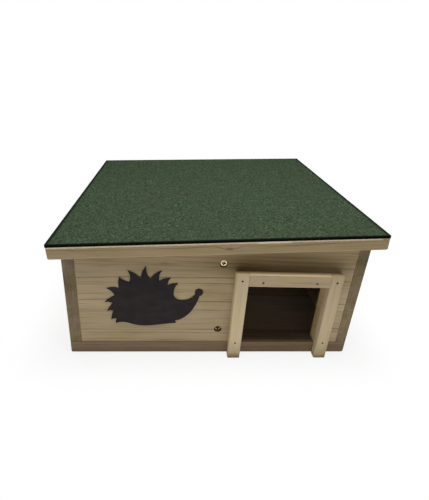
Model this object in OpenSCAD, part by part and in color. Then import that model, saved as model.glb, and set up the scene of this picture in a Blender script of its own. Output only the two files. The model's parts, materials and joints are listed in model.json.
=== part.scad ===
// Hedgehog house: a box of softwood boards under a felted lid that pitches down to the left.
// The origin is the centre of the base board's underside. The front faces -Y, and +Z is up.

/* [Carcass] */
// Width of the box over both side walls
body_w = 420; // [400:2:560]
// Depth of the box over the front and back panels
body_d = 442; // [380:2:560]
// Height of the low left wall, at its outer face
low_wall_h = 162; // [156:1:200]
// Height of the high right wall, at its outer face
high_wall_h = 189; // [180:1:230]
// Thickness of the base board
base_t = 21; // [12:0.5:24]
// Rounding of the base board's lower edges
base_edge_r = 3; // [1:0.5:5]
// Thickness of the side walls
wall_t = 16.5; // [14:0.5:20]
// Thickness of the front and back panels
panel_t = 18; // [14:0.5:22]

/* [Roof] */
// Thickness of the roof board
roof_t = 18.5; // [14:0.5:22]
// Thickness of the felt on the roof board
felt_t = 3.7; // [1.5:0.1:5]
// Reach of the roof board beyond the low left wall
left_overhang = 12.5; // [5:0.5:30]
// Reach of the roof board beyond the high right wall
right_overhang = 16; // [5:0.5:30]
// Reach of the roof board beyond the front panel
front_overhang = 12; // [5:0.5:30]
// Rounding of the roof board's lower edges
roof_edge_r = 3; // [1:0.5:5]
// Reach of the felt beyond the front and side edges of the roof board
felt_lip = 0; // [0:0.1:2]

/* [Entrance] */
// Width of the entrance
door_w = 117; // [100:1:135]
// Height of the entrance above the floor
door_h = 107; // [95:1:120]
// Width of front panel left between the entrance and the right side wall
door_from_wall = 36; // [30:0.5:45]
// Face width of the porch strips
strip_w = 18.5; // [14:0.5:24]
// Depth of the porch strips, out from the front panel
strip_t = 12.5; // [10:0.5:18]
// Rounding of the porch strips' front edges
strip_edge_r = 1.5; // [0.5:0.1:3]
// Height of the jambs above the top of the lintel
jamb_step = 0.5; // [0:0.1:4]
// Height of the jambs' lower ends above the ground
jamb_foot_gap = 0.5; // [0.2:0.1:3]

/* [Partition] */
// Thickness of the inner wall
partition_t = 15; // [12:0.5:20]
// Clear width between the inner wall and the entrance
partition_from_door = 28; // [22:0.5:40]
// Width of the passage left behind the inner wall
passage_d = 120; // [105:1:140]
// Gap between the inner wall's top and the roof board
partition_gap = 2; // [1:0.5:6]

/* [Hedgehog figure] */
// Distance of the figure's centre from the left side wall
figure_from_wall = 93.5; // [85:0.5:105]
// Height of the figure's centre above the floor
figure_up = 63; // [56:1:70]
// Thickness of the figure
figure_t = 1.2; // [0.8:0.1:3]
// Radius of the round back, measured at the feet of the spines
back_r = 46.5; // [42:0.5:50]
// Length of the longest spine
spine_l = 19.5; // [14:0.5:21]
// Reach of the nose from the figure's centre
nose_reach = 73.5; // [62:0.5:78]
// Height of the nose above the figure's centre
nose_up = 26; // [18:0.5:30]
// Radius of the nose
nose_r = 5.7; // [4:0.1:7]

/* [Hinges] */
// Length of each hinge
hinge_l = 50; // [40:1:70]
// Distance from each side wall's outer face to the middle of a hinge
hinge_inset = 75; // [60:1:110]
// Width of a hinge leaf, from the pin's axis to its free edge
leaf_w = 13; // [11:0.5:13.5]
// Thickness of a hinge leaf
leaf_t = 1.5; // [1.2:0.1:2]
// Rounding of a hinge leaf's free corners
leaf_corner_r = 2; // [0.5:0.1:3]
// Diameter of the hinge barrel
barrel_d = 5; // [4.4:0.1:6]
// Diameter of the hinge pin
hinge_pin_d = 2.5; // [2:0.1:3]
// Number of knuckles along the barrel
knuckle_count = 5; // [3:2:7]
// Diameter of the rivet heads on the hinge pin
rivet_d = 4.2; // [3.2:0.1:4.4]
// Thickness of the rivet heads on the hinge pin
rivet_t = 0.8; // [0.4:0.1:1.5]
// Distance of a leaf's screws from its ends
leaf_screw_inset = 10; // [6:0.5:13]

/* [Fasteners] */
// Length of the wood screws in the boards
screw_l = 40; // [32:1:45]
// Shank diameter of the wood screws
screw_d = 4.5; // [3.5:0.1:5]
// Head diameter of the wood screws
screw_head_d = 9; // [7:0.1:10]
// Length of the hinge screws
hinge_screw_l = 12; // [9:0.5:13]
// Shank diameter of the hinge screws
hinge_screw_d = 2.6; // [2:0.1:3]
// Head diameter of the hinge screws
hinge_screw_head_d = 5.2; // [4.2:0.1:5.6]
// Length of the panel pins in the porch
panel_pin_l = 22; // [16:0.5:24]
// Shank diameter of the panel pins
panel_pin_d = 1.4; // [1:0.1:2]
// Head diameter of the panel pins
panel_pin_head_d = 2.4; // [2.1:0.1:3.5]
// Thickness of the panel pins' heads
panel_pin_head_t = 0.8; // [0.5:0.1:1.5]
// Height of the lower screw of the inner wall, above the floor
low_partition_screw = 26; // [18:1:45]
// Distance of the upper screw of the inner wall below the roof board
top_partition_screw = 18.5; // [15:0.5:35]
// Height of the lower screws of the side walls, above the floor
low_wall_screw = 42; // [35:1:55]
// Distance of the upper screws of the side walls below the roof board
top_wall_screw = 45; // [35:1:60]
// Distance of the outer base screws from the front and the back of the box
base_screw_inset = 70; // [50:1:100]
// Distance of the panel pins below the jambs' tops
top_pin_inset = 10.5; // [6:0.5:14]
// Height of the lower panel pins above the floor
low_pin = 8.5; // [6:0.5:30]
// Distance of the lintel's panel pins from its ends
lintel_pin_inset = 20; // [8:0.5:40]
// Height of the lintel's panel pins above its lower edge
lintel_pin_up = 6.5; // [5:0.5:12]

/* [Clearances] */
// Gap between the walls' upper edges and the closed lid
lid_gap = 0.1; // [0.05:0.05:0.5]
// Gap all round a fastener in its hole
fastener_fit = 0.1; // [0.05:0.01:0.2]
// Depth of the screw heads below the surface
head_sink = 0.3; // [0.1:0.05:0.8]
// Radial gap between the hinge pin and its knuckles
hinge_pin_fit = 0.05; // [0.02:0.01:0.1]
// Gap between neighbouring knuckles, and between a knuckle and the other leaf
knuckle_gap = 0.4; // [0.2:0.05:0.6]
// Gap between the hinge barrel and the boards behind it
barrel_gap = 0.3; // [0.2:0.05:0.6]

/* [Hidden] */
$fn = 48;

// Length by which a cut runs past the face that it opens
past = 1;

// The box: its faces, and the sloped seam where the walls meet the roof board
slope = atan2(high_wall_h - low_wall_h, body_w);
seam_h = (low_wall_h + high_wall_h) / 2;
inner_x = body_w / 2 - wall_t;
front_y = -body_d / 2;
back_y = body_d / 2;
floor_front_y = front_y + panel_t;
floor_back_y = back_y - panel_t;
roof_left = -body_w / 2 / cos(slope) - left_overhang;
roof_right = body_w / 2 / cos(slope) + right_overhang;
roof_d = body_d + front_overhang;
roof_front_y = back_y - roof_d;
function seam_z(x) = seam_h + x * tan(slope);

// The entrance and its porch
door_right = inner_x - door_from_wall;
door_left = door_right - door_w;
door_top = base_t + door_h;
lintel_top = door_top + strip_w;
jamb_top = lintel_top + jamb_step;
porch_y = front_y - strip_t;
left_jamb_x = door_left - strip_w;
right_jamb_x = door_right;

// The inner wall
partition_right = door_left - partition_from_door;
partition_x = partition_right - partition_t / 2;
partition_l = floor_back_y - floor_front_y - passage_d;
partition_top = seam_z(partition_right - partition_t) - partition_gap;

// The hinges
barrel_r = barrel_d / 2;
axis_y = barrel_gap + barrel_r;
knuckle_pitch = hinge_l / knuckle_count;
hinge_x = (body_w / 2 - hinge_inset) / cos(slope);
leaf_screw_z = (leaf_w + barrel_r) / 2;
leaf_screw_x = hinge_l / 2 - leaf_screw_inset;

// The drive recess in a screw head, as shares of the head's diameter
recess_span = 0.56;
recess_slot = 0.13;
recess_depth = 0.16;
// Straight rim on a screw head
head_rim = 0.4;

// Each screw's place is [position of the head's face, direction that the screw points]
partition_screw_places = [
    for (z = [base_t + low_partition_screw, seam_z(partition_x) - top_partition_screw])
        [[partition_x, front_y, z], [-90, 0, 0]]
];
function wall_screw_places(side) = [
    for (y = [front_y + panel_t / 2, back_y - panel_t / 2])
        for (z = [base_t + low_wall_screw, seam_z(side * body_w / 2) - top_wall_screw])
            [[side * body_w / 2, y, z], [0, -90 * side, 0]]
];
base_screw_spots = concat(
    [for (side = [-1, 1], y = [front_y + base_screw_inset, 0, back_y - base_screw_inset])
        [side * (body_w / 2 - wall_t / 2), y]],
    [for (x = [(left_jamb_x - inner_x) / 2, (door_right + inner_x) / 2]) [x, front_y + panel_t / 2]],
    [for (side = [-1, 1]) [side * inner_x / 2, back_y - panel_t / 2]],
    [for (share = [0.25, 0.75]) [partition_x, floor_front_y + share * partition_l]]
);
base_screw_places = [for (spot = base_screw_spots) [[spot.x, spot.y, 0], [0, 0, 0]]];
leaf_screw_places = [for (side = [-1, 1]) [[side * leaf_screw_x, leaf_t, -leaf_screw_z], [90, 0, 0]]];

// Each panel pin's place is [x, z] on the porch's front
porch_pin_places = concat(
    [for (x = [left_jamb_x, right_jamb_x], z = [base_t + low_pin, jamb_top - top_pin_inset])
        [x + strip_w / 2, z]],
    [for (x = [door_left + lintel_pin_inset, door_right - lintel_pin_inset])
        [x, door_top + lintel_pin_up]]
);

wood = "#a8946f";
pale_wood = "#c4ae84";
end_wood = "#8a755c";
felt_green = "#3d5138";
figure_black = "#2a2526";
yellow_zinc = "#b9974a";
bright_zinc = "#b7babd";
pin_steel = "#5a5048";

// A profile drawn in X and Z, carried back from y0 to y1
module along_y(y0, y1) {
    translate([0, y1, 0]) rotate([90, 0, 0]) linear_extrude(y1 - y0) children();
}

// A profile drawn in Y and Z, carried across from x0 to x1
module along_x(x0, x1) {
    translate([x0, 0, 0]) rotate([90, 0, 90]) linear_extrude(x1 - x0) children();
}

// The frame of the roof: level with the seam, and tilted with it
module on_seam() {
    translate([0, 0, seam_h]) rotate([0, -slope, 0]) children();
}

// A rectangle from [x0, 0] to [x1, h] whose two lower corners are rounded
module round_bottom(x0, x1, h, r) {
    translate([x0, r]) square([x1 - x0, h - r]);
    translate([x0 + r, 0]) square([x1 - x0 - 2 * r, 2 * r]);
    for (x = [x0 + r, x1 - r]) translate([x, r]) circle(r);
}

// The outline of a wall panel from x0 to x1, up to the closed lid
module panel_outline(x0, x1) {
    polygon([[x0, base_t], [x1, base_t], [x1, seam_z(x1) - lid_gap], [x0, seam_z(x0) - lid_gap]]);
}

// A countersunk screw along +Z, with its head's face sunk below z = 0, grown by a gap for its hole
module screw_shape(l, d, head_d, grow) {
    head_z = head_sink - (grow > 0 ? head_sink + past : 0);
    neck_z = head_sink + head_rim + (head_d - d) / 2;
    point_z = head_sink + l - d;
    rotate_extrude() polygon([
        [0, head_z],
        [head_d / 2 + grow, head_z],
        [head_d / 2 + grow, head_sink + head_rim],
        [d / 2 + grow, neck_z],
        [d / 2 + grow, point_z],
        [0, point_z + d + grow]
    ]);
}

module screw(l, d, head_d) {
    span = head_d * recess_span;
    slot = head_d * recess_slot;
    depth = head_d * recess_depth;
    difference() {
        screw_shape(l, d, head_d, 0);
        for (turn = [0, 90]) rotate(turn)
            translate([-span / 2, -slot / 2, head_sink - past]) cube([span, slot, depth + past]);
    }
}

module at_place(place) {
    translate(place[0]) rotate(place[1]) children();
}

module wood_screws(places) {
    for (place = places) at_place(place) screw(screw_l, screw_d, screw_head_d);
}

module wood_screw_holes(places) {
    for (place = places) at_place(place) screw_shape(screw_l, screw_d, screw_head_d, fastener_fit);
}

// A panel pin along +Y from the porch's front, grown by a gap for its hole
module panel_pin(place, grow) {
    lead = grow > 0 ? past : 0;
    translate([place.x, porch_y, place.y]) rotate([-90, 0, 0]) {
        translate([0, 0, -lead])
            cylinder(d = panel_pin_head_d + 2 * grow, h = panel_pin_head_t + lead + grow);
        cylinder(d = panel_pin_d + 2 * grow, h = panel_pin_l + grow);
    }
}

module porch_pin_holes() {
    for (place = porch_pin_places) panel_pin(place, fastener_fit);
}

// The hinges stand on the seam, at the back face, one on each side
module at_hinge(side) {
    on_seam() translate([side * hinge_x, back_y, 0]) children();
}

module leaf_screw_holes() {
    for (place = leaf_screw_places)
        at_place(place) screw_shape(hinge_screw_l, hinge_screw_d, hinge_screw_head_d, fastener_fit);
}

module leaf_screws() {
    for (place = leaf_screw_places) at_place(place) screw(hinge_screw_l, hinge_screw_d, hinge_screw_head_d);
}

// One knuckle, with the tab that rolls into it from the leaf below
module knuckle(index) {
    x0 = -hinge_l / 2 + index * knuckle_pitch + knuckle_gap / 2;
    l = knuckle_pitch - knuckle_gap;
    tab_h = barrel_r + knuckle_gap;
    translate([x0, axis_y, 0]) rotate([0, 90, 0]) cylinder(r = barrel_r, h = l);
    translate([x0, 0, -tab_h]) cube([l, leaf_t, tab_h]);
}

// A leaf that hangs below the pin, with every second knuckle from the first one given
module hinge_leaf(first) {
    plate_top = -(barrel_r + knuckle_gap);
    difference() {
        union() {
            along_y(0, leaf_t) translate([0, -leaf_w])
                round_bottom(-hinge_l / 2, hinge_l / 2, leaf_w + plate_top, leaf_corner_r);
            for (index = [first : 2 : knuckle_count - 1]) knuckle(index);
        }
        translate([-hinge_l / 2 - past, axis_y, 0]) rotate([0, 90, 0])
            cylinder(d = hinge_pin_d + 2 * hinge_pin_fit, h = hinge_l + 2 * past);
        leaf_screw_holes();
    }
}

// The pin, with a rivet head at each end of the barrel
module hinge_pin() {
    translate([0, axis_y, 0]) rotate([0, 90, 0]) {
        translate([0, 0, -hinge_l / 2]) cylinder(d = hinge_pin_d, h = hinge_l);
        for (z = [-hinge_l / 2 - rivet_t, hinge_l / 2])
            translate([0, 0, z]) cylinder(d = rivet_d, h = rivet_t);
    }
}

module base_board() {
    color(end_wood) difference() {
        intersection() {
            along_y(front_y, back_y) round_bottom(-body_w / 2, body_w / 2, base_t, base_edge_r);
            along_x(-body_w / 2, body_w / 2) round_bottom(front_y, back_y, base_t, base_edge_r);
        }
        wood_screw_holes(base_screw_places);
    }
}

module side_panel(side) {
    x0 = side < 0 ? -body_w / 2 : inner_x;
    difference() {
        along_y(front_y, back_y) panel_outline(x0, x0 + wall_t);
        wood_screw_holes(wall_screw_places(side));
        wood_screw_holes(base_screw_places);
    }
}

module left_side_panel() {
    color(end_wood) side_panel(-1);
}

module right_side_panel() {
    color(end_wood) side_panel(1);
}

module cross_panel(y0) {
    difference() {
        along_y(y0, y0 + panel_t) panel_outline(-inner_x, inner_x);
        for (side = [-1, 1]) wood_screw_holes(wall_screw_places(side));
        wood_screw_holes(base_screw_places);
    }
}

module front_panel() {
    color(wood) difference() {
        cross_panel(front_y);
        along_y(front_y - past, floor_front_y + past)
            translate([door_left, base_t - past]) square([door_w, door_h + past]);
        wood_screw_holes(partition_screw_places);
        porch_pin_holes();
    }
}

module back_panel() {
    color(wood) difference() {
        cross_panel(floor_back_y);
        for (side = [-1, 1]) at_hinge(side) leaf_screw_holes();
    }
}

module partition_board() {
    color(wood) difference() {
        translate([partition_right - partition_t, floor_front_y, base_t])
            cube([partition_t, partition_l, partition_top - base_t]);
        wood_screw_holes(partition_screw_places);
        wood_screw_holes(base_screw_places);
    }
}

module jamb(x0) {
    color(pale_wood) difference() {
        translate([0, porch_y, jamb_foot_gap]) linear_extrude(jamb_top - jamb_foot_gap)
            round_bottom(x0, x0 + strip_w, strip_t, strip_edge_r);
        porch_pin_holes();
    }
}

module porch_left_jamb() {
    jamb(left_jamb_x);
}

module porch_right_jamb() {
    jamb(right_jamb_x);
}

module porch_lintel() {
    color(pale_wood) difference() {
        translate([door_left, porch_y, door_top]) rotate([90, 0, 90]) linear_extrude(door_w)
            mirror([1, -1]) round_bottom(0, strip_w, strip_t, strip_edge_r);
        porch_pin_holes();
    }
}

// Points along a cubic curve from a towards d, leaving d itself to whatever comes next
function curve(a, b, c, d, steps) = [
    for (step = [0 : steps - 1])
        let (t = step / steps, s = 1 - t)
            s * s * s * a + 3 * s * s * t * b + 3 * s * t * t * c + t * t * t * d
];
function polar(r, a) = [r * cos(a), r * sin(a)];

// The spines run round the back from the nape to the rump. Each row is [angle of the foot nearer the nape,
// angle of the tip, length as a share of the longest, side that it hooks to: -1 nape, 1 rump].
spines = [
    [35, 42.5, 0.64, -1], [51, 55.5, 0.64, -1], [67, 70.5, 0.87, -1], [83, 89.5, 1, -1],
    [98, 112.5, 0.85, 1], [119, 126.5, 0.72, -1], [140.5, 150.5, 0.77, 1], [156.5, 172, 0.56, 1],
    [172.5, 187.5, 0.44, 1], [188, 203.5, 0.38, 1], [205.5, 212.5, 0.26, 1]
];
rump_a = 220;
rump_tuck = 6.5;
nape = polar(back_r, spines[0][0]);
rump = polar(back_r - rump_tuck, rump_a);
function foot(index) = index < len(spines) ? polar(back_r, spines[index][0]) : rump;

// The edge on the side that a spine hooks to is hollow, and the other one is full, by shares of its length
full_bow = 0.19;
hollow_bow = 0.16;
spine_steps = 7;
function bowed_edge(a, b, bow) = curve(a, a + (b - a) / 3 + bow, a + (b - a) * 2 / 3 + bow, b, spine_steps);
function spine(index) =
    let (
        tip_a = spines[index][1],
        l = spine_l * spines[index][2],
        side = spines[index][3],
        tip = polar(back_r + l, tip_a),
        bow = -side * l * polar(1, tip_a + 90)
    )
    concat(
        bowed_edge(foot(index), tip, bow * (side > 0 ? full_bow : hollow_bow)),
        bowed_edge(tip, foot(index + 1), bow * (side > 0 ? hollow_bow : full_bow))
    );

// The underside runs from the rump along the belly to the toe, then up the chest to the round nose,
// and the brow runs back to the nape
nose = [nose_reach, nose_up];
chin_a = -80;
bridge_a = 208;
nose_turn = bridge_a - chin_a;
nose_steps = 24;
chin = nose + polar(nose_r, chin_a);
bridge = nose + polar(nose_r, bridge_a);
belly = [-4, -31.8];
toe = [42.5, -26.7];
chest = [40.5, -22.5];
belly_pull = [10, 0];
rump_pull = [7, -2];
belly_sweep = [16, 0];
toe_pull = [-14, -1];
chest_pull = [21.5, 3.5];
chin_pull = [-3, -13];
bridge_pull = [-6, -14];
nape_pull = [-3, -20];
body_steps = 16;
figure_outline = concat(
    [for (index = [0 : len(spines) - 1]) each spine(index)],
    curve(rump, rump + rump_pull, belly - belly_pull, belly, body_steps),
    curve(belly, belly + belly_sweep, toe + toe_pull, toe, body_steps),
    [toe],
    curve(chest, chest + chest_pull, chin + chin_pull, chin, body_steps),
    [for (step = [0 : nose_steps - 1]) nose + polar(nose_r, chin_a + nose_turn * step / nose_steps)],
    curve(bridge, bridge + bridge_pull, nape + nape_pull, nape, body_steps)
);

module hedgehog_plaque() {
    color(figure_black) along_y(front_y - figure_t, front_y)
        translate([figure_from_wall - inner_x, base_t + figure_up]) polygon(figure_outline);
}

module roof_board() {
    color(wood) difference() {
        on_seam() intersection() {
            along_y(roof_front_y, back_y) round_bottom(roof_left, roof_right, roof_t, roof_edge_r);
            along_x(roof_left, roof_right)
                round_bottom(roof_front_y, back_y + 2 * roof_edge_r, roof_t, roof_edge_r);
        }
        for (side = [-1, 1]) at_hinge(side) mirror([0, 0, 1]) leaf_screw_holes();
    }
}

module roof_felt() {
    color(felt_green) on_seam() translate([roof_left - felt_lip, roof_front_y - felt_lip, roof_t])
        cube([roof_right - roof_left + 2 * felt_lip, roof_d + felt_lip, felt_t]);
}

module hinge_wall_leaf(side) {
    color(bright_zinc) at_hinge(side) hinge_leaf(0);
}

module hinge_lid_leaf(side) {
    color(bright_zinc) at_hinge(side) mirror([0, 0, 1]) hinge_leaf(1);
}

module left_hinge_wall_leaf() {
    hinge_wall_leaf(-1);
}

module left_hinge_lid_leaf() {
    hinge_lid_leaf(-1);
}

module left_hinge_pin() {
    color(bright_zinc) at_hinge(-1) hinge_pin();
}

module right_hinge_wall_leaf() {
    hinge_wall_leaf(1);
}

module right_hinge_lid_leaf() {
    hinge_lid_leaf(1);
}

module right_hinge_pin() {
    color(bright_zinc) at_hinge(1) hinge_pin();
}

module partition_screws() {
    color(yellow_zinc) wood_screws(partition_screw_places);
}

module left_wall_screws() {
    color(yellow_zinc) wood_screws(wall_screw_places(-1));
}

module right_wall_screws() {
    color(yellow_zinc) wood_screws(wall_screw_places(1));
}

module base_screws() {
    color(yellow_zinc) wood_screws(base_screw_places);
}

module porch_pins() {
    color(pin_steel) for (place = porch_pin_places) panel_pin(place, 0);
}

module hinge_wall_screws() {
    color(bright_zinc) for (side = [-1, 1]) at_hinge(side) leaf_screws();
}

module hinge_lid_screws() {
    color(bright_zinc) for (side = [-1, 1]) at_hinge(side) mirror([0, 0, 1]) leaf_screws();
}

base_board();
left_side_panel();
right_side_panel();
front_panel();
back_panel();
partition_board();
porch_left_jamb();
porch_right_jamb();
porch_lintel();
hedgehog_plaque();
roof_board();
roof_felt();
left_hinge_wall_leaf();
left_hinge_lid_leaf();
left_hinge_pin();
right_hinge_wall_leaf();
right_hinge_lid_leaf();
right_hinge_pin();
partition_screws();
left_wall_screws();
right_wall_screws();
base_screws();
porch_pins();
hinge_wall_screws();
hinge_lid_screws();
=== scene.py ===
import json
import math
import bmesh
import bpy
from mathutils import Matrix, Vector


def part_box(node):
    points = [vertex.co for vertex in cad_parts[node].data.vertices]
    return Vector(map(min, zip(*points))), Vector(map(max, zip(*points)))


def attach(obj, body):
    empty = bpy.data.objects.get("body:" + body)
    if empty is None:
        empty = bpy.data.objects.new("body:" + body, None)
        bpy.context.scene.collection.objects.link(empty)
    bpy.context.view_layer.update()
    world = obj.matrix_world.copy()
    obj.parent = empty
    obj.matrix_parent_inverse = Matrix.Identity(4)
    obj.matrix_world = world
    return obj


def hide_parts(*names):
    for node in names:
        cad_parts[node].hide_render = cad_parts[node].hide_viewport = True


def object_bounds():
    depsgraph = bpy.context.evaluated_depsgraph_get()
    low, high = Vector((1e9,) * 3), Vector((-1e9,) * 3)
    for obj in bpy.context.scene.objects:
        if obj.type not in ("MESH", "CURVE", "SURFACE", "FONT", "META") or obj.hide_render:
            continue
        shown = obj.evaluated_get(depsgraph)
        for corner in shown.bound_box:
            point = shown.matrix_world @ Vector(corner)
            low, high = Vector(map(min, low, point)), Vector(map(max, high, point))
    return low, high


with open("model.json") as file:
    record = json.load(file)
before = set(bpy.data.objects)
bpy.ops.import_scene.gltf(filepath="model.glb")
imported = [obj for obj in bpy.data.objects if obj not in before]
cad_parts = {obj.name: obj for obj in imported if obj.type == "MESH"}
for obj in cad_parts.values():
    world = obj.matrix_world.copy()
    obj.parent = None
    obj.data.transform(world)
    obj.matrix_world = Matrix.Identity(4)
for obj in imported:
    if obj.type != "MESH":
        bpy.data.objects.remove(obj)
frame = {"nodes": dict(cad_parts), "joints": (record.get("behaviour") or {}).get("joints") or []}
cadLow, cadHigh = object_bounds()
mm = 0.001
hinge = frame["joints"][0]
lidTilt = math.atan2(-hinge["axis"][2], -hinge["axis"][0])  # the seam climbs to the right
untilt = Matrix.Rotation(lidTilt, 4, "Y")
retilt = Matrix.Rotation(-lidTilt, 4, "Y")
print("frame loaded, lid tilt", round(math.degrees(lidTilt), 2))


# Shader helpers

class Wire:  # a socket that can stand in a sum
    def __init__(self, finish, socket):
        self.finish = finish
        self.socket = socket

    def __add__(self, other):
        return self.finish.maths("ADD", self, other)

    def __radd__(self, other):
        return self.finish.maths("ADD", other, self)

    def __sub__(self, other):
        return self.finish.maths("SUBTRACT", self, other)

    def __rsub__(self, other):
        return self.finish.maths("SUBTRACT", other, self)

    def __mul__(self, other):
        return self.finish.maths("MULTIPLY", self, other)

    def __rmul__(self, other):
        return self.finish.maths("MULTIPLY", other, self)

    def __truediv__(self, other):
        return self.finish.maths("DIVIDE", self, other)

    def __rtruediv__(self, other):
        return self.finish.maths("DIVIDE", other, self)

    def __gt__(self, other):
        return self.finish.maths("GREATER_THAN", self, other)

    def __lt__(self, other):
        return self.finish.maths("LESS_THAN", self, other)

    def __abs__(self):
        return self.finish.maths("ABSOLUTE", self, 0)


class Finish:  # one material, or the sky, and the nodes that make it
    def __init__(self, name, owner=None, shaderName="Principled BSDF"):
        self.material = owner or bpy.data.materials.new(name)
        self.material.use_nodes = True
        self.tree = self.material.node_tree
        self.shader = self.tree.nodes[shaderName]

    def node(self, kind, settings=None, inputs=None, outputs=(0,)):
        made = self.tree.nodes.new(kind)
        for key, value in (settings or {}).items():
            setattr(made, key, value)
        for key, value in (inputs or {}).items():
            self.feed(made.inputs[key], value)
        wires = [Wire(self, made.outputs[key]) for key in outputs]
        return wires[0] if len(wires) == 1 else wires

    def feed(self, socket, value):
        if isinstance(value, Wire):
            self.tree.links.new(value.socket, socket)
        else:
            socket.default_value = value

    def set(self, **values):
        for key, value in values.items():
            self.feed(self.shader.inputs[key.replace("_", " ")], value)

    def maths(self, operation, first, second):
        return self.node("ShaderNodeMath", {"operation": operation}, {0: first, 1: second})

    def fraction(self, value):
        return self.maths("FRACT", value, 0)

    def lesser(self, first, second):
        return self.maths("MINIMUM", first, second)

    def greater(self, first, second):
        return self.maths("MAXIMUM", first, second)

    def length(self, first, *others):  # of a line, from its reach along each axis
        total = first * first
        for other in others:
            total = total + other * other
        return self.maths("SQRT", total, 0)

    def places(self, tilt=0):  # x, y and z on the piece, in millimetres
        spot = self.node("ShaderNodeTexCoord", outputs=("Object",))
        if tilt:
            spot = self.node("ShaderNodeMapping", None, {"Vector": spot, "Rotation": (0, tilt, 0)})
        parts = self.node("ShaderNodeSeparateXYZ", None, {0: spot}, (0, 1, 2))
        return [part * 1000 for part in parts]

    def normals(self, tilt=0):
        facing = self.node("ShaderNodeTexCoord", outputs=("Normal",))
        if tilt:
            facing = self.node("ShaderNodeMapping", None, {"Vector": facing, "Rotation": (0, tilt, 0)})
        return self.node("ShaderNodeSeparateXYZ", None, {0: facing}, (0, 1, 2))

    def spot(self, x, y, z):
        return self.node("ShaderNodeCombineXYZ", None, {0: x, 1: y, 2: z})

    def chance(self, seed, output):  # one draw for each seed
        return self.node("ShaderNodeTexWhiteNoise", {"noise_dimensions": "1D"}, {"W": seed}, (output,))

    def noise(self, spot, detail=2, roughness=0.5, scale=1):
        inputs = {"Vector": spot, "Scale": scale, "Detail": detail, "Roughness": roughness}
        return self.node("ShaderNodeTexNoise", None, inputs)

    def ease(self, value, start, end):  # 0 before start, 1 after end
        settings = {"interpolation_type": "SMOOTHSTEP"}
        inputs = {"Value": value, "From Min": start, "From Max": end, "To Min": 0, "To Max": 1}
        return self.node("ShaderNodeMapRange", settings, inputs)

    def blend(self, share, first, second):
        return self.node("ShaderNodeMix", {"data_type": "RGBA"}, {0: share, 6: first, 7: second}, (2,))

    def bump(self, height, strength, distance):
        inputs = {"Height": height, "Strength": strength, "Distance": distance}
        return self.node("ShaderNodeBump", None, inputs)

    def seenRays(self):  # 1 for rays that show a surface, 0 for those that light it
        kinds = ("Is Camera Ray", "Is Glossy Ray", "Is Transmission Ray")
        camera, glossy, passing = self.node("ShaderNodeLightPath", outputs=kinds)
        return self.greater(self.greater(camera, glossy), passing)


def toLinear(red, green, blue):  # an 8-bit screen colour as the shader wants it
    def one(value):
        value = value / 255
        return value / 12.92 if value < 0.04045 else ((value + 0.055) / 1.055) ** 2.4
    return (one(red), one(green), one(blue), 1)


# Modelling helpers

def pickOnly(obj):
    if bpy.context.object and bpy.context.object.mode != "OBJECT":
        bpy.ops.object.mode_set(mode="OBJECT")
    bpy.ops.object.select_all(action="DESELECT")
    if obj:
        obj.select_set(True)
        bpy.context.view_layer.objects.active = obj


def placeInMesh(obj):
    pickOnly(obj)
    bpy.ops.object.transform_apply(location=True, rotation=True, scale=True)


def addBlock(name, low, high):
    pickOnly(None)
    bpy.ops.mesh.primitive_cube_add(size=1, location=(low + high) / 2)
    block = bpy.context.object
    block.name = name
    block.data.name = name
    block.scale = high - low
    placeInMesh(block)
    return block


def startEdit(obj, kind, test):  # edit mode, with the edges or faces that pass the test selected
    pickOnly(obj)
    bpy.ops.object.mode_set(mode="EDIT")
    bpy.ops.mesh.select_mode(type=kind)
    bpy.ops.mesh.select_all(action="DESELECT")
    mesh = bmesh.from_edit_mesh(obj.data)
    for part in mesh.edges if kind == "EDGE" else mesh.faces:
        if test(part):
            part.select_set(True)
    mesh.select_flush_mode()
    bmesh.update_edit_mesh(obj.data)


def endEdit():
    bpy.ops.object.mode_set(mode="OBJECT")


def useModifier(obj, kind, **settings):
    pickOnly(obj)
    modifier = obj.modifiers.new(kind.title(), kind)
    for key, value in settings.items():
        setattr(modifier, key, value)
    bpy.ops.object.modifier_apply(modifier=modifier.name)


def cutAway(obj, cutter):
    useModifier(obj, "BOOLEAN", operation="DIFFERENCE", solver="EXACT", object=cutter)
    bpy.data.objects.remove(cutter)


def easeEdges(obj, width, segments, angle):  # every edge that is sharper than the angle
    useModifier(
        obj, "BEVEL", width=width, segments=segments, limit_method="ANGLE", angle_limit=math.radians(angle),
    )


def roundEdges(obj, width, segments, test):
    startEdit(obj, "EDGE", test)
    bpy.ops.mesh.bevel(offset=width, segments=segments, affect="EDGES")
    endEdit()


def smoothRounds(obj, angle=35):
    pickOnly(obj)
    bpy.ops.object.shade_smooth_by_angle(angle=math.radians(angle))
    useModifier(obj, "WEIGHTED_NORMAL", keep_sharp=True)


def joinAll(objs, name):
    pickOnly(objs[0])
    for obj in objs:
        obj.select_set(True)
    if len(objs) > 1:
        bpy.ops.object.join()
    joined = bpy.context.object
    joined.name = name
    joined.data.name = name
    return joined


def copyTo(obj, place):  # a copy with its own mesh, moved in the mesh
    pickOnly(obj)
    bpy.ops.object.duplicate()
    made = bpy.context.object
    made.matrix_world = place
    placeInMesh(made)
    return made


def addTurned(name, rings, sides):  # a turned solid along +Z, from rings of height and radius
    pickOnly(None)
    height, radius = rings[0]
    bpy.ops.mesh.primitive_circle_add(
        vertices=sides, radius=radius, location=(0, 0, height), fill_type="NGON",
    )
    turned = bpy.context.object
    turned.name = name
    turned.data.name = name
    placeInMesh(turned)
    startEdit(turned, "FACE", lambda face: True)
    for nextHeight, nextRadius in rings[1:]:
        rise = (0, 0, nextHeight - height)
        share = nextRadius / radius
        bpy.ops.mesh.extrude_region_move(TRANSFORM_OT_translate={"value": rise})
        bpy.ops.transform.resize(value=(share, share, 1))
        height, radius = nextHeight, nextRadius
    bpy.ops.mesh.select_all(action="SELECT")
    bpy.ops.mesh.normals_make_consistent(inside=False)
    endEdit()
    return turned


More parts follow.
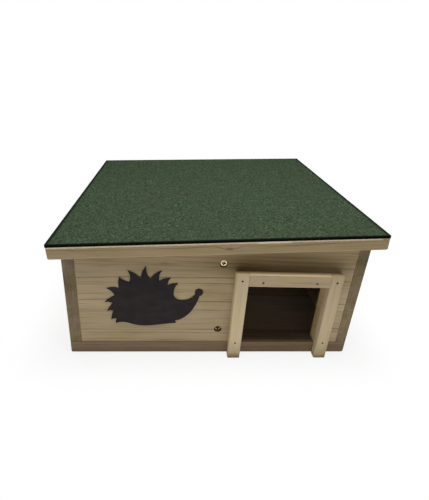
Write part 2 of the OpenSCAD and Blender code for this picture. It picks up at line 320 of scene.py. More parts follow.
def solidBoxes(nodeName):  # the box of each separate solid in one CAD node
    mesh = bmesh.new()
    mesh.from_mesh(frame["nodes"][nodeName].data)
    bmesh.ops.remove_doubles(mesh, verts=mesh.verts, dist=0.001 * mm)
    left = set(mesh.verts)
    boxes = []
    while left:
        edge = [left.pop()]
        island = list(edge)
        while edge:
            corner = edge.pop()
            for link in corner.link_edges:
                other = link.other_vert(corner)
                if other in left:
                    left.remove(other)
                    edge.append(other)
                    island.append(other)
        low = Vector(min(corner.co[axis] for corner in island) for axis in range(3))
        high = Vector(max(corner.co[axis] for corner in island) for axis in range(3))
        boxes.append((low, high))
    mesh.free()
    return sorted(boxes, key=lambda box: [round(value, 5) for value in box[0]])


def lidBox(nodeName):  # a lid node's box, measured square to the lid
    spots = [untilt @ corner.co for corner in frame["nodes"][nodeName].data.vertices]
    low = Vector(min(spot[axis] for spot in spots) for axis in range(3))
    high = Vector(max(spot[axis] for spot in spots) for axis in range(3))
    return low, high


def dress(piece, body, slot, finish, *nodes):  # with no finish, the piece keeps the ones it has
    if finish:
        piece.data.materials.clear()
        piece.data.materials.append(finish.material)
    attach(piece, body)
    if nodes:
        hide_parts(*nodes)


def dressNode(nodeName, finish):  # a CAD node that keeps its shape
    node = frame["nodes"][nodeName]
    node.data.materials.clear()
    node.data.materials.append(finish.material)


# Finishes

woodTone = {
    "pale": toLinear(184, 167, 135),
    "dark": toLinear(142, 123, 92),
    "yellow": toLinear(181, 159, 112),
    "pink": toLinear(176, 150, 126),
    "tintShare": 0.45,
    "ringWidth": 8,
    "ringShare": 0.42,
    "lateWood": (0.55, 0.93),  # the dark part of a ring
    "pith": (45, 90),  # least distance from a strip's middle, and how much more by chance
    "wander": 12,
    "streakShare": 0.3,
    "fibreShare": 0.4,
    "endShade": 0.52,
    "endRough": 0.5,
    "edgeShade": 1,
    "jointLine": 0.3,
    "joints": [],  # places of the glue lines across the board
    "tones": [],  # bands: place across the board, half width, shade
    "knotsAndShadePatches": [],  # knots, and patches of painted shade: place and half sizes along, across and through the board, darkness
    "marksAndShadePatches": [],  # stains, and patches of painted shade, and of painted light where darkness is below 0: place and half sizes along and across the board, darkness
    "shadedHoles": [],  # painted shade in holes, below the board's face: place along and across the board, radius, level of the face
    "holePaintedShade": 0.85,
    "highlightAndTearRuns": [],  # torn fibres, and a painted highlight, at the front's upper edge: start, end, level, depth, share
    "highlightAndTearColour": toLinear(250, 234, 202),
    "paintedRoofShadow": None,  # a painted shadow of the roof on upper faces: where it starts and is full towards the back, share
    "tilt": 0,
}


def gluedStrips(finish, spec, across):  # each strip's number and middle, and the lines between strips
    borders = [spec["span"][0], *spec["joints"], spec["span"][1]]
    middles = [(low + high) / 2 for low, high in zip(borders, borders[1:])]
    number = across * 0 + spec["seed"] * 37
    middle = across * 0 + middles[0]
    glueLine = across * 0
    for joint, before, after in zip(spec["joints"], middles, middles[1:]):
        past = across > joint
        number = number + past
        middle = middle + past * (after - before)
        glueLine = glueLine + (1 - finish.ease(abs(across - joint), 0.2, 0.9))
    return number, middle, glueLine


def reachFrom(finish, board, place, size):  # 0 at the place, 1 at the rim of the oval round it
    return finish.length(*[(here - there) / half for here, there, half in zip(board, place, size)])


def woodFinish(name, spec):
    spec = {**woodTone, **spec}
    finish = Finish(name)
    letters = dict(zip("xyz", finish.places(spec["tilt"])))
    facing = dict(zip("xyz", finish.normals(spec["tilt"])))
    board = [letters[letter] for letter in spec["grain"]]
    along, across, depth = board
    seed = spec["seed"] * 37
    endGrain = finish.ease(abs(facing[spec["grain"][0]]), 0.6, 0.9)
    sawnEdge = finish.ease(abs(facing[spec["grain"][1]]), 0.6, 0.9)
    number, middle, glueLine = gluedStrips(finish, spec, across)
    draws = finish.chance(number, "Color")
    red, green, blue = finish.node("ShaderNodeSeparateColor", None, {0: draws}, (0, 1, 2))

    # growth rings about a pith line off to one side of each strip, pushed aside by knots and by the patches
    # of painted shade
    slide = along + red * 900
    bend = finish.noise(finish.spot(slide * 0.004, across * 0.012, depth * 0.02 + seed), 2)
    pithSide = (green > 0.5) * 2 - 1
    offAcross = across - middle - pithSide * (spec["pith"][0] + red * spec["pith"][1])
    offDepth = depth - spec["span"][2] + 20 + blue * 50
    radius = finish.length(offAcross, offDepth)
    radius = radius + (bend - 0.5) * spec["wander"] + slide * (blue - 0.5) * 0.02
    knotAndPatchShade = across * 0
    for place, size, darkness in spec["knotsAndShadePatches"]:
        reach = reachFrom(finish, board, place, size)
        radius = radius + (1 - finish.ease(reach, 0.3, 3)) * min(size)
        knotAndPatchShade = knotAndPatchShade + (1 - finish.ease(reach, 0.2, 1)) * darkness
    swell = finish.noise(finish.spot(radius * 0.045, number, 0), 1)
    ringCount = radius / spec["ringWidth"] + swell * 3
    phase = finish.fraction(ringCount)
    ringChance = finish.chance(ringCount - phase + number * 17.3, "Value")
    lateStart, lateEnd = spec["lateWood"]
    late = finish.ease(phase, lateStart, lateEnd) * (1 - finish.ease(phase, lateEnd, 1))
    late = late * (0.1 + ringChance * ringChance * 1.6)

    # streaks and fibres along the grain
    streaks = finish.noise(finish.spot(slide * 0.011, across * 0.3, depth * 0.3 + seed), 3, 0.6)
    fibres = finish.noise(finish.spot(slide * 0.06, across * 1.7, depth * 1.7 + seed), 3, 0.7)
    blotch = finish.noise(finish.spot(along * 0.012, across * 0.03 + seed, depth * 0.03), 2)
    darkShare = late * spec["ringShare"] * (1 - endGrain * 0.6)
    darkShare = darkShare + (streaks - 0.5) * spec["streakShare"] * 2 + (fibres - 0.5) * spec["fibreShare"]
    tint = finish.blend(finish.ease(blotch, 0.35, 0.65), spec["yellow"], spec["pink"])
    pale = finish.blend(spec["tintShare"], spec["pale"], tint)
    colour = finish.blend(finish.ease(darkShare, -0.1, 0.75), pale, spec["dark"])

    # each strip's own tone, the glue lines, knots and stains, and painted shade and light: dark patches and
    # bands, dark holes, a pale highlight along an edge and a shadow on upper faces
    value = 0.94 + blue * 0.12 + (blotch - 0.5) * 0.2
    value = value * (1 - spec["jointLine"] * glueLine * (1 - endGrain * 0.7)) * (1 - knotAndPatchShade)
    shadeWarmth = across * 0 + 1
    # stains, and patches of painted shade and painted light; the darkened patches are also made warmer, a
    # painted warm shade
    for place, size, darkness in spec["marksAndShadePatches"]:
        patchShade = (1 - finish.ease(reachFrom(finish, board, place, size), 0.3, 1)) * darkness
        value = value * (1 - patchShade)
        shadeWarmth = shadeWarmth + patchShade * 0.5
    for place, holeRadius, face in spec["shadedHoles"]:  # painted shade in holes, below the board's face
        inHole = 1 - finish.ease(reachFrom(finish, board, place, (1, 1)), holeRadius, holeRadius + 1)
        value = value * (1 - inHole * finish.ease(abs(depth - face), 0.2, 0.9) * spec["holePaintedShade"])
    # torn fibres, and a painted highlight along the edge, in a pale colour
    for start, end, level, tearDepth, highlightAndTearShare in spec["highlightAndTearRuns"]:
        ragged = finish.noise(finish.spot(along * 0.22, across * 0.1, depth * 0.6), 3, 0.6)
        raggedDepth = depth + (ragged - 0.5) * tearDepth * 2
        nearEdge = finish.ease(raggedDepth, level - tearDepth, level) * (across < 0)
        inSpan = finish.ease(along, start, start + 6) * (1 - finish.ease(along, end - 6, end))
        colour = finish.blend(nearEdge * inSpan * highlightAndTearShare, colour, spec["highlightAndTearColour"])
    for place, halfWidth, shade in spec["tones"]:
        value = value + (1 - finish.ease(abs(across - place), halfWidth, halfWidth + 2)) * shade
    # a painted shadow of the roof on upper faces, darker towards the back
    if spec["paintedRoofShadow"]:
        shadowStart, shadowFull, shadowShare = spec["paintedRoofShadow"]
        upper = finish.ease(facing["z"], 0.5, 0.9)
        value = value * (1 - finish.ease(letters["y"], shadowStart, shadowFull) * upper * shadowShare)

    # rough end grain and sawn edges
    everywhere = finish.spot(letters["x"], letters["y"], letters["z"] + seed)
    endBlotch = finish.noise(everywhere, 3, 0.6, 0.08)
    endSpeck = finish.noise(everywhere, 2, 0.6, 0.5)
    endStreak = finish.noise(finish.spot(across * 0.035, depth * 0.4, seed), 3, 0.6)
    endMarks = (endBlotch - 0.5) * 0.8 + (endSpeck - 0.5) * 0.4 + (endStreak - 0.5) * 0.9
    endTone = spec["endShade"] + endMarks * spec["endRough"]
    value = value * (1 - endGrain * (1 - endTone)) * (1 - sawnEdge * (1 - spec["edgeShade"]))
    inputs = {"Hue": 0.5, "Saturation": shadeWarmth + endGrain * 0.1, "Value": value, "Color": colour}
    height = late * -0.3 + fibres * 0.5 + streaks * 0.3 - glueLine * 0.6
    finish.set(
        Base_Color=finish.node("ShaderNodeHueSaturation", None, inputs),
        Roughness=0.6 + fibres * 0.16 + endGrain * 0.1,
        Normal=finish.bump(height, 0.35, 0.4 * mm),
    )
    finish.shader.inputs["Specular IOR Level"].default_value = 0.25
    return finish


def spanOf(nodeName, grain):  # a board's edges across its strips and its middle through it, in millimetres
    low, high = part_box(nodeName)
    lows = dict(zip("xyz", low * 1000))
    highs = dict(zip("xyz", high * 1000))
    return lows[grain[1]], highs[grain[1]], (lows[grain[2]] + highs[grain[2]]) / 2


# Boards

edges = {"eased": 0.9 * mm, "sawn": 0.6 * mm, "segments": 3, "roundSegments": 6}


def slopeOff(board, high):  # trims a wall to the slope of the lid
    startEdit(board, "FACE", lambda face: True)
    bpy.ops.mesh.bisect(
        plane_co=(high.x, 0, high.z),
        plane_no=(-math.sin(lidTilt), 0, math.cos(lidTilt)),
        use_fill=True,
        clear_outer=True,
    )
    endEdit()


def makeWall(name, nodeName, door=None):
    low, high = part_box(nodeName)
    board = addBlock(name, low, high)
    slopeOff(board, high)
    if door:
        cutAway(board, addBlock("doorCutter", *door))
    easeEdges(board, edges["eased"], edges["segments"], 30)
    return board


def isLevelEdge(edge, level):
    return all(abs(corner.co.z - level) < 0.01 * mm for corner in edge.verts)


screwKind = {
    "sides": 32,
    "rim": 0.4 * mm,
    "rimEase": 0.15 * mm,
    "shank": 2.25 * mm,
    "hingeShank": 1.3 * mm,
    "closeSlack": 0.5 * mm,
    "seatSlack": 1.2 * mm,  # the front panel's seats were bored wide and a little low
    "seatDrop": 1.1 * mm,
    "seatLip": 1.4 * mm,
    "seatShade": 6.5 * mm,
    "recessSpan": 0.88,
    "recessWidth": 0.32,
    "recessDepth": 0.4,
    "recessTaper": 0.55,
    "turnStep": 100,  # degrees between one screw's cross and the next
    "sinks": {"partition_screws": [2.3 * mm, 0]},  # heads that were driven deeper than the rest
}
screwWays = {
    "partition_screws": Vector((0, 1, 0)),
    "left_wall_screws": Vector((1, 0, 0)),
    "right_wall_screws": Vector((-1, 0, 0)),
    "base_screws": Vector((0, 0, 1)),
    "hinge_wall_screws": Vector((0, -1, 0)),
    "hinge_lid_screws": Vector((0, -1, 0)),
}


def screwSize(box, way):
    size = box[1] - box[0]
    length = abs(size.dot(way))
    radius = max(side for side, turn in zip(size, way) if abs(turn) < 0.5) / 2
    return length, radius


def screwPlace(box, way):  # local +Z points the way that the screw is driven
    length, _ = screwSize(box, way)
    face = (box[0] + box[1]) / 2 - way * length / 2
    turn = Vector((0, 0, 1)).rotation_difference(way).to_matrix().to_4x4()
    return Matrix.Translation(face) @ turn


def makeScrew(name, length, radius, shank, finishes):
    rim = screwKind["rim"]
    rings = [
        (0, radius - screwKind["rimEase"]),
        (0.8 * screwKind["rimEase"], radius),
        (rim, radius),
        (rim + radius - shank, shank),
        (length - 2 * shank, shank),
        (length, 0.1 * shank),
    ]
    screw = addTurned(name, rings, screwKind["sides"])
    span = radius * screwKind["recessSpan"]
    width = radius * screwKind["recessWidth"]
    depth = radius * 2 * screwKind["recessDepth"]
    for reach, breadth in ((span, width), (width, span)):
        low = Vector((-reach, -breadth, -depth))
        slotCutter = addBlock("slotCutter", low, Vector((reach, breadth, depth)))
        startEdit(slotCutter, "FACE", lambda face: face.normal.z > 0.9)
        bpy.ops.transform.resize(value=(screwKind["recessTaper"], screwKind["recessTaper"], 1))
        endEdit()
        cutAway(screw, slotCutter)
    smoothRounds(screw, 40)

    def isRecess(face):
        centre = face.calc_center_median()
        outward = Vector((centre.x, centre.y, 0))
        facesOut = face.normal.dot(outward.normalized()) > 0.3
        return 0.02 * mm < centre.z <= depth and outward.length < radius * 0.75 and not facesOut

    for finish in finishes:
        screw.data.materials.append(finish.material)
    startEdit(screw, "FACE", isRecess)
    screw.active_material_index = 1
    bpy.ops.object.material_slot_assign()
    endEdit()
    return screw


def sinksOf(rowName, count):
    return screwKind["sinks"].get(rowName, [0] * count)


def cutSeats(board, rowName, slack, drop):
    way = screwWays[rowName]
    boxes = solidBoxes(rowName)
    for box, sink in zip(boxes, sinksOf(rowName, len(boxes))):
        length, radius = screwSize(box, way)
        shank = screwKind["shank"] + 0.1 * mm
        wide = radius + slack
        lip = sink + screwKind["seatLip"]
        rings = [(-2 * mm, wide), (lip, wide), (lip + wide - shank, shank), (length * 0.4, shank)]
        seat = addTurned("seatCutter", rings, screwKind["sides"])
        seat.matrix_world = Matrix.Translation(drop) @ screwPlace(box, way)
        placeInMesh(seat)
        cutAway(board, seat)


jambLow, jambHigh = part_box("porch_left_jamb")
rightJambLow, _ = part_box("porch_right_jamb")
lintelLow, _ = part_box("porch_lintel")
frontLow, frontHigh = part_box("front_panel")
doorBox = (
    Vector((jambHigh.x, frontLow.y - 10 * mm, frontLow.z - 10 * mm)),
    Vector((rightJambLow.x, frontHigh.y + 10 * mm, lintelLow.z)),
)

frontBoard = makeWall("front_board", "front_panel", doorBox)
cutSeats(frontBoard, "partition_screws", screwKind["seatSlack"], Vector((0, 0, -screwKind["seatDrop"])))
smoothRounds(frontBoard)
frontSpec = {
    "grain": "xzy",
    "span": spanOf("front_panel", "xzy"),
    "joints": [44, 80, 124, 152],
    "jointLine": 0.18,
    "pink": toLinear(178, 154, 121),
    "ringShare": 0.5,
    "streakShare": 0.95,
    "wander": 20,
    "tones": [(30, 14, -0.05), (62, 18, -0.06)],
    "knotsAndShadePatches": [((-76, 155, -221), (9, 4, 9), 0.2)],
    # the dark band over the lintel and the darker top under the roof are painted shade, the pale patch right
    # of the door is painted light, and the dark line along the bottom edge is a painted shadow where the
    # panel meets the base; the wood is also darker low on the left and left of the door
    "marksAndShadePatches": [
        ((85, 158), (125, 34), 0.45), ((5, 154), (75, 26), 0.17), ((-110, 160), (110, 20), 0.1),
        ((-90, 28), (140, 18), 0.1), ((187, 80), (16, 60), -0.22), ((-5, 100), (34, 34), 0.14),
        ((0, 20.5), (420, 4.5), 0.42),
    ],
    # painted shade in the wide screw seats
    "shadedHoles": [
        ((centre.x, centre.z), screwKind["seatShade"] * 1000, frontLow.y * 1000)
        for centre in [(low + high) * 500 for low, high in solidBoxes("partition_screws")]
    ],
    # painted light: the panel's end grain, seen in the sides of the doorway, is made paler than end grain
    # elsewhere
    "endShade": 1.15,
    "seed": 3,
}
dress(frontBoard, "house", "board_wood", woodFinish("frontWood", frontSpec), "front_panel")

backBoard = makeWall("back_board", "back_panel")
smoothRounds(backBoard)
backSpec = {
    "grain": "xzy",
    "span": spanOf("back_panel", "xzy"),
    "joints": [52, 95, 131],
    "knotsAndShadePatches": [((-92, 71, 213), (11, 7, 18), 0.4), ((118, 112, 213), (8, 5, 14), 0.35)],
    "seed": 5,
}
dress(backBoard, "house", "board_wood", woodFinish("backWood", backSpec), "back_panel")

sideSpecs = {
    "left": {
        "endShade": 0.46,
        "joints": [57, 103, 139],
        "knotsAndShadePatches": [((62, 88, -202), (11, 7, 18), 0.4)],
        "marksAndShadePatches": [
            ((-221, 143), (40, 13), -0.22), ((-221, 40), (40, 11), -0.14), ((-221, 118), (40, 16), 0.08),
        ],
        "seed": 7,
    },
    "right": {
        "joints": [49, 88, 127, 160],
        "knotsAndShadePatches": [
            ((-40, 70, 202), (10, 6, 16), 0.4), ((130, 144, 202), (8, 5, 14), 0.35),
            # the two large ovals are painted shade on the wall's inner face near the entrance, not knots
            ((-115, 75, 193), (65, 65, 7), 0.82), ((-25, 40, 193), (85, 60, 7), 0.6),
        ],
        "seed": 9,
    },
}
for side, sideSpec in sideSpecs.items():
    nodeName = side + "_side_panel"
    board = makeWall(side + "_side_board", nodeName)
    cutSeats(board, side + "_wall_screws", screwKind["closeSlack"], Vector())
    smoothRounds(board)
    spec = {"grain": "yzx", "span": spanOf(nodeName, "yzx"), **sideSpec}
    dress(board, "house", "board_wood", woodFinish(side + "SideWood", spec), nodeName)
print("walls made")

partitionLow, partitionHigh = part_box("partition_board")
partition = addBlock("partition", partitionLow, partitionHigh)
roundEdges(partition, edges["eased"], edges["segments"], lambda edge: True)
smoothRounds(partition)
partitionSpec = {
    "grain": "yzx",
    "span": spanOf("partition_board", "yzx"),
    "joints": [61, 112],
    "seed": 11,
}
dress(partition, "house", "board_wood", woodFinish("partitionWood", partitionSpec), "partition_board")

baseLow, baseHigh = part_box("base_board")
baseShape = {"lowRound": 4.5 * mm}
base = addBlock("base", baseLow, baseHigh)
roundEdges(base, baseShape["lowRound"], edges["roundSegments"], lambda edge: isLevelEdge(edge, baseLow.z))
easeEdges(base, edges["sawn"], edges["segments"], 60)
cutSeats(base, "base_screws", screwKind["closeSlack"], Vector())
smoothRounds(base)
baseSpec = {
    "grain": "xyz",
    "span": spanOf("base_board", "xyz"),
    "joints": [-171, -118, -74, -21, 33, 88, 129, 180],
    "knotsAndShadePatches": [((-60, 40, 8), (10, 6, 16), 0.4), ((128, 96, 8), (11, 7, 16), 0.4)],
    "pale": toLinear(144, 122, 97),
    "dark": toLinear(104, 85, 64),
    "yellow": toLinear(140, 119, 88),
    "pink": toLinear(142, 115, 94),
    # painted shade: the floor inside the house and the threshold are darker, and so are the base's front edge
    # and floor at the doorway
    "tones": [(0, 214, -0.3), (-205, 14, -0.3)],
    "marksAndShadePatches": [((98, -218), (80, 40), 0.16)],
    "streakShare": 0.8,
    "edgeShade": 1.02,
    "endShade": 0.8,
    "seed": 13,
}
dress(base, "house", "board_wood", woodFinish("baseWood", baseSpec), "base_board")
print("base and partition made")


# The porch

porch = {
    "frontRound": 1.3 * mm,
    "roundSegments": 4,
    "holeSides": 16,
    "holeDepth": 2.2 * mm,
    "pinHole": 1.6 * mm,
    "pinSink": 1.7 * mm,
    "pinSides": 20,
    "pinShank": 0.7 * mm,
}
pinTurn = Matrix.Rotation(math.radians(-90), 4, "X")  # pins are driven in from the front


def pinSpots(low, high):  # where the panel pins enter the wood within a box
    spots = []
    for pinLow, pinHigh in solidBoxes("porch_pins"):
        centre = (pinLow + pinHigh) / 2
        if low.x < centre.x < high.x and low.z < centre.z < high.z:
            spots.append(Vector((centre.x, pinLow.y, centre.z)))
    return spots


def makeStrip(name, nodeName):
    low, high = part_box(nodeName)
    strip = addBlock(name, low, high)
    easeEdges(strip, porch["frontRound"], porch["roundSegments"], 30)
    for spot in pinSpots(low, high):
        rings = [(-1 * mm, porch["pinHole"]), (porch["holeDepth"], porch["pinHole"])]
        hole = addTurned("holeCutter", rings, porch["holeSides"])
        hole.matrix_world = Matrix.Translation(spot) @ pinTurn
        placeInMesh(hole)
        cutAway(strip, hole)
    smoothRounds(strip)
    return strip


stripTone = {
    "pale": toLinear(219, 202, 165),
    "dark": toLinear(178, 158, 121),
    "ringWidth": 6,
    "ringShare": 0.14,
    "streakShare": 0.95,
    "pith": (70, 60),
    # painted shadow of the roof on the tops of the jambs and the lintel
    "paintedRoofShadow": (jambLow.y * 1000 + 2, jambLow.y * 1000 + 10, 0.6),
    "wander": 5,
    "endShade": 0.95,
    "endRough": 0.25,
}
stripSpecs = {
    # each jamb is darker towards its foot
    "porch_left_jamb": {"grain": "zxy", "seed": 21, "marksAndShadePatches": [((0, 30), (12, 60), 0.45)]},
    "porch_right_jamb": {"grain": "zxy", "seed": 24, "marksAndShadePatches": [((0, 168), (10, 60), 0.35)]},
    "porch_lintel": {
        "grain": "xzy",
        "seed": 26,
        "pale": toLinear(200, 180, 144),
        "dark": toLinear(158, 138, 102),
        # painted light: the lintel's top and bottom faces are made much paler than its front
        "edgeShade": 1.62,
    },
}
for nodeName, stripSpec in stripSpecs.items():
    strip = makeStrip(nodeName + "_strip", nodeName)
    spec = {**stripTone, "span": spanOf(nodeName, stripSpec["grain"]), **stripSpec}
    # painted shade in the pin holes
    spec["shadedHoles"] = []
    for spot in pinSpots(*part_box(nodeName)):
        letters = dict(zip("xyz", spot * 1000))
        place = [letters[letter] for letter in spec["grain"][:2]]
        spec["shadedHoles"].append((place, porch["pinHole"] * 1000, jambLow.y * 1000))
    dress(strip, "house", "strip_wood", woodFinish(nodeName + "Wood", spec), nodeName)
print("porch made")


# The roof

roofLow, roofHigh = lidBox("roof_board")
roofShape = {"lowRound": 3 * mm, "topEase": 1.3 * mm}


def isRoofEdge(edge, level):  # the edge along the back stays square, for the hinges
    middle = (edge.verts[0].co + edge.verts[1].co) / 2
    return isLevelEdge(edge, level) and middle.y < 0.95 * roofHigh.y


roof = addBlock("roof", roofLow, roofHigh)
roundEdges(roof, roofShape["lowRound"], edges["roundSegments"], lambda edge: isRoofEdge(edge, roofLow.z))
roundEdges(roof, roofShape["topEase"], edges["segments"], lambda edge: isRoofEdge(edge, roofHigh.z))
easeEdges(roof, edges["sawn"], edges["segments"], 60)
roof.data.transform(retilt)
smoothRounds(roof)
roofSpec = {
    "grain": "xyz",
    "tilt": lidTilt,
    "span": (roofLow.y * 1000, roofHigh.y * 1000, (roofLow.z + roofHigh.z) * 500),
    "joints": [-180, -133, -81, -27, 29, 80, 121, 168],
    "knotsAndShadePatches": [((20.6, roofLow.y * 1000, roofLow.z * 1000 + 9), (8, 8, 3.4), 0.42)],
    # the first run, along the whole front edge, is a painted highlight on the eased top edge; the second is
    # torn fibres
    "highlightAndTearRuns": [
        (-230, 230, roofHigh.z * 1000 - 1.9, 1, 0.75),
        (54, 106, roofHigh.z * 1000 - 2.4, 1.4, 0.9),
    ],
    "ringWidth": 5,
    "ringShare": 0.72,
    "pith": (6, 26),
    "streakShare": 0.5,
    "endShade": 0.62,
    "seed": 15,
    "pale": toLinear(180, 161, 122),
    "dark": toLinear(130, 107, 74),
}
dress(roof, "lid", "board_wood", woodFinish("roofWood", roofSpec), "roof_board")
print("roof board made")

felt = {
    "step": 1.7 * mm,
    "relief": 0.35 * mm,
    "grainSize": 1.3 * mm,
    "frontSetBack": 0.25 * mm,
    "sideReach": 0.5 * mm,
    "skirt": 0.8 * mm,
    "sideRim": 0.45,  # the rim at the sides is wider than at the front by one over this
}
feltLow, feltHigh = lidBox("roof_felt")
feltLow += Vector((-felt["sideReach"], felt["frontSetBack"], 0))
feltHigh.x += felt["sideReach"]
feltSize = feltHigh - feltLow
pickOnly(None)
bpy.ops.mesh.primitive_grid_add(
    x_subdivisions=int(feltSize.x / felt["step"]),
    y_subdivisions=int(feltSize.y / felt["step"]),
    size=1,
)
feltSheet = bpy.context.object
feltSheet.name = "felt"
feltSheet.data.name = "felt"
feltSheet.scale = (feltSize.x, feltSize.y, 1)
feltSheet.location = (feltLow + feltHigh) / 2 + Vector((0, 0, feltSize.z / 2 - felt["relief"]))
placeInMesh(feltSheet)
startEdit(feltSheet, "EDGE", lambda edge: edge.is_boundary)
feltDrop = (0, 0, felt["relief"] - feltSize.z - felt["skirt"])
bpy.ops.mesh.extrude_region_move(TRANSFORM_OT_translate={"value": feltDrop})
bpy.ops.mesh.edge_face_add()
bpy.ops.mesh.select_all(action="SELECT")
bpy.ops.mesh.normals_make_consistent(inside=False)
endEdit()
topCorners = [corner.index for corner in feltSheet.data.vertices if corner.co.z > feltLow.z + felt["relief"]]
feltSheet.vertex_groups.new(name="granules").add(topCorners, 1.0, "REPLACE")
granuleCloud = bpy.data.textures.new("granuleCloud", "CLOUDS")
granuleCloud.noise_scale = felt["grainSize"]
granuleCloud.noise_depth = 1
useModifier(
    feltSheet, "DISPLACE", texture=granuleCloud, texture_coords="LOCAL", direction="Z",
    vertex_group="granules", strength=felt["relief"], mid_level=0,
)
feltSheet.data.transform(retilt)


def feltFinish():
    finish = Finish("greenFelt")
    x, y, z = finish.places(lidTilt)
    _, _, facingZ = finish.normals(lidTilt)
    spot = finish.spot(x, y, z)
    inputs = {"Vector": spot, "Scale": 0.62, "Randomness": 1}
    distance, granule = finish.node("ShaderNodeTexVoronoi", None, inputs, ("Distance", "Color"))
    red, green = finish.node("ShaderNodeSeparateColor", None, {0: granule}, (0, 1))
    patch = finish.noise(spot, 3, 0.55, 0.018)
    clump = finish.noise(spot, 3, 0.65, 0.3)
    lightShare = finish.ease(red, 0.05, 0.95) * 0.6 + finish.ease(clump, 0.3, 0.7) * 0.4
    colour = finish.blend(lightShare, toLinear(31, 43, 29), toLinear(72, 87, 66))
    colour = finish.blend(finish.ease(green, 0.9, 0.95) * 0.5, colour, toLinear(104, 116, 97))
    colour = finish.blend(finish.ease(patch, 0.42, 0.6) * 0.2, colour, toLinear(62, 65, 53))
    inset = finish.lesser(
        finish.lesser(x - feltLow.x * 1000, feltHigh.x * 1000 - x) * felt["sideRim"],
        finish.lesser(y - feltLow.y * 1000, feltHigh.y * 1000 - y),
    )
    ragged = finish.noise(spot, 2, 0.6, 0.35)
    rim = 1 - finish.ease(inset + (ragged - 0.5) * 1.6, 1.2, 2.8)
    side = 1 - finish.ease(facingZ, 0.3, 0.6)
    black = finish.greater(rim, side)
    climb = finish.ease(z + (ragged - 0.5) * 2, feltLow.z * 1000 + 0.8, feltHigh.z * 1000)
    colour = finish.blend(black, colour, finish.blend(climb, toLinear(18, 16, 12), toLinear(28, 34, 27)))
    finish.set(
        Base_Color=colour,
        Roughness=0.88 - black * 0.3,
        Normal=finish.bump((1 - distance) * (1 - black), 0.7, 0.5 * mm),
    )
    finish.shader.inputs["Specular IOR Level"].default_value = 0
    return finish


dress(feltSheet, "lid", "roof_felt", feltFinish(), "roof_felt")
print("felt made", len(feltSheet.data.polygons))


# The hedgehog figure

def figureFinish():
    finish = Finish("figurePaint")
    x, y, z = finish.places()
    brushed = finish.noise(finish.spot(x * 0.05, y, z * 0.1), 2, 0.5)
    speck = finish.noise(finish.spot(x, y, z), 2, 0.5, 0.8)
    colour = finish.blend(finish.ease(brushed, 0.3, 0.7), toLinear(32, 26, 27), toLinear(40, 33, 34))
    finish.set(
        Base_Color=colour,
        Roughness=0.55 + speck * 0.2,
        Normal=finish.bump(brushed * 0.6 + speck * 0.4, 0.2, 0.2 * mm),
    )
    finish.shader.inputs["Specular IOR Level"].default_value = 0.12
    return finish


dressNode("hedgehog_plaque", figureFinish())


# Hinges, screws and pins

def zincFinish(name, plate, dull, rough):
    finish = Finish(name)
    x, y, z = finish.places()
    cloud = finish.noise(finish.spot(x, y, z), 3, 0.6, 0.35)
    fine = finish.noise(finish.spot(x * 0.3, y * 3, z * 3), 2, 0.6, 1)
    finish.set(
        Base_Color=finish.blend(finish.ease(cloud, 0.4, 0.7), plate, dull),
        Metallic=0.95 - finish.ease(cloud, 0.45, 0.75) * 0.2,
        Roughness=rough + cloud * 0.15 + fine * 0.08,
        Normal=finish.bump(fine, 0.08, 0.1 * mm),
    )
    return finish


hingeZinc = zincFinish("brightZinc", toLinear(204, 206, 208), toLinear(170, 173, 176), 0.26)
yellowZinc = zincFinish("yellowZinc", toLinear(212, 203, 166), toLinear(186, 170, 122), 0.3)
# painted shade: the screw that is sunk deeper gets this darker copy of the yellow zinc
shadedZinc = zincFinish("shadedZinc", toLinear(150, 130, 88), toLinear(96, 80, 52), 0.42)
recessShade = zincFinish("recessShade", toLinear(26, 22, 12), toLinear(16, 12, 6), 0.7)
pinSteel = zincFinish("pinSteel", toLinear(36, 31, 26), toLinear(22, 18, 15), 0.6)
for side in ("left", "right"):
    for part in ("wall_leaf", "lid_leaf", "pin"):
        dressNode(side + "_hinge_" + part, hingeZinc)


def driveScrews(rowName, pieceName, shank, slot, finish, body):
    way = screwWays[rowName]
    boxes = solidBoxes(rowName)
    length, radius = screwSize(boxes[0], way)
    models = {}
    row = []
    for number, (box, sink) in enumerate(zip(boxes, sinksOf(rowName, len(boxes)))):
        if sink not in models:
            plate = shadedZinc if sink else finish
            models[sink] = makeScrew("screwModel", length - sink, radius, shank, (plate, recessShade))
        turn = Matrix.Rotation(math.radians(screwKind["turnStep"] * number), 4, "Z")
        row.append(copyTo(models[sink], screwPlace(box, way) @ Matrix.Translation((0, 0, sink)) @ turn))
    for model in models.values():
        bpy.data.objects.remove(model)
    dress(joinAll(row, pieceName), body, slot, None, rowName)


for rowName in ("partition_screws", "left_wall_screws", "right_wall_screws", "base_screws"):
    driveScrews(rowName, rowName + "_driven", screwKind["shank"], "yellow_zinc", yellowZinc, "house")
for rowName, body in (("hinge_wall_screws", "house"), ("hinge_lid_screws", "lid")):
    driveScrews(rowName, rowName + "_driven", screwKind["hingeShank"], "hinge_zinc", hingeZinc, body)


def makePin(length, radius):
    sink = porch["pinSink"]
    shank = porch["pinShank"]
    rings = [
        (sink, radius * 0.45),
        (sink + 0.1 * mm, radius * 0.95),
        (sink + 0.5 * mm, radius),
        (sink + 0.9 * mm, shank),
        (length - 2 * mm, shank),
        (length, 0.1 * mm),
    ]
    return addTurned("pinModel", rings, porch["pinSides"])


pinLow, pinHigh = solidBoxes("porch_pins")[0]
pinModel = makePin(pinHigh.y - pinLow.y, (pinHigh.x - pinLow.x) / 2)
pins = [copyTo(pinModel, Matrix.Translation(spot) @ pinTurn) for spot in pinSpots(cadLow, cadHigh)]
bpy.data.objects.remove(pinModel)
porchPins = joinAll(pins, "porch_pins_driven")
smoothRounds(porchPins, 40)
dress(porchPins, "house", "pin_steel", pinSteel, "porch_pins")
print("hinges and fasteners made")


# Floor, light and camera

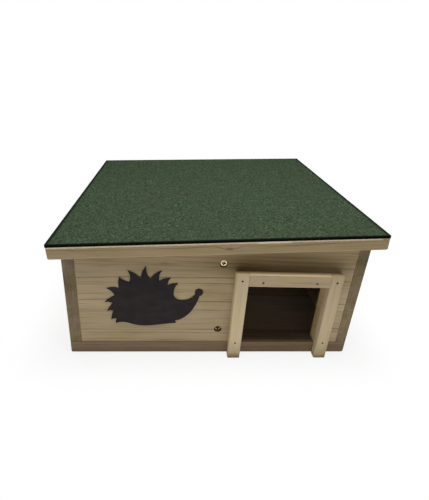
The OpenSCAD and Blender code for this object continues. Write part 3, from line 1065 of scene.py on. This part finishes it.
studio = {
    "floorSpan": 30,
    "floorDrop": 0.2 * mm,
    "floorWhite": (0.88, 0.88, 0.88, 1),
    "floorGrey": (0.3, 0.3, 0.3, 1),
    "sheetReach": (200, 500),  # where the white sheet round the house fades out
    "shadeReach": (0, 90),  # how far from the house its shadow is seen
    "shadeLoss": 0.84,
    "skyPower": 0.03,
}
plainLamp = {"turn": 0, "spread": 180, "colour": (1, 1, 1)}
lamps = {
    "overhead": {"place": (0, -0.2, 1.25), "size": (1.0, 0.96), "power": 19.5},
    "frontCard": {"place": (-0.03, -0.34, 0.003), "size": (0.9, 0.13), "power": 0.37, "turn": 180},
    "rearCard": {"place": (0, 0.4, 0.003), "size": (0.9, 0.2), "power": 0.6, "turn": 180},
    "lobbyCard": {  # light thrown into the entrance
        "place": (0.1, -0.13, 0.162), "size": (0.14, 0.12), "power": 0.006,
        "spread": 80, "colour": (0.75, 0.86, 1),
    },
}
pickOnly(None)
bpy.ops.mesh.primitive_plane_add(size=studio["floorSpan"], location=(0, 0, -studio["floorDrop"]))
floor = bpy.context.object
floor.name = "floor"
floorFinish = Finish("floorWhite")
floorX, floorY, _ = floorFinish.places()
pastSide = floorFinish.greater(abs(floorX) - cadHigh.x * 1000, 0)
pastFront = floorFinish.greater(abs(floorY) - cadHigh.y * 1000, 0)
away = floorFinish.length(pastSide, pastFront)
sheet = floorFinish.ease(away, *studio["sheetReach"])
floorFinish.set(Base_Color=floorFinish.blend(sheet, studio["floorWhite"], studio["floorGrey"]), Roughness=0.9)
fading = floorFinish.ease(away, *studio["shadeReach"])
whiteShare = (studio["shadeLoss"] + fading * (1 - studio["shadeLoss"])) * floorFinish.seenRays()
white = floorFinish.node("ShaderNodeEmission")
shaded = Wire(floorFinish, floorFinish.shader.outputs[0])
mixed = floorFinish.node("ShaderNodeMixShader", None, {0: whiteShare, 1: shaded, 2: white})
floorFinish.feed(floorFinish.tree.nodes["Material Output"].inputs["Surface"], mixed)
floor.data.materials.append(floorFinish.material)

for lampName, ownSpec in lamps.items():
    lampSpec = {**plainLamp, **ownSpec}
    bpy.ops.object.light_add(type="AREA", location=lampSpec["place"])
    lamp = bpy.context.object
    lamp.name = lampName
    lamp.rotation_euler.x = math.radians(lampSpec["turn"])
    lamp.data.shape = "RECTANGLE"
    lamp.data.size, lamp.data.size_y = lampSpec["size"]
    lamp.data.energy = lampSpec["power"]
    lamp.data.spread = math.radians(lampSpec["spread"])
    lamp.data.color = lampSpec["colour"]
    lamp.visible_camera = False

world = bpy.context.scene.world or bpy.data.worlds.new("studio")
bpy.context.scene.world = world
sky = Finish("sky", world, "Background")
sky.set(Color=(1, 1, 1, 1), Strength=studio["skyPower"] + sky.seenRays() * (1 - studio["skyPower"]))
bpy.context.scene.view_settings.view_transform = "Standard"

eye = {
    "place": (-64.2 * mm, -670.7 * mm, 398.5 * mm),
    "turn": -0.121,
    "dip": -0.4544,
    "roll": -0.0822,
    "lens": 27.121,
    "sensor": 36,
}
lensData = bpy.data.cameras.new("eye")
lensData.lens = eye["lens"]
lensData.sensor_width = eye["sensor"]
camera = bpy.data.objects.new("eye", lensData)
bpy.context.scene.collection.objects.link(camera)
camera.matrix_world = (
    Matrix.Translation(eye["place"])
    @ Matrix.Rotation(eye["turn"], 4, "Z")
    @ Matrix.Rotation(eye["dip"], 4, "X")
    @ Matrix.Rotation(eye["roll"], 4, "Y")
    @ Matrix.Rotation(math.radians(90), 4, "X")
)
bpy.context.scene.camera = camera
print("studio ready")
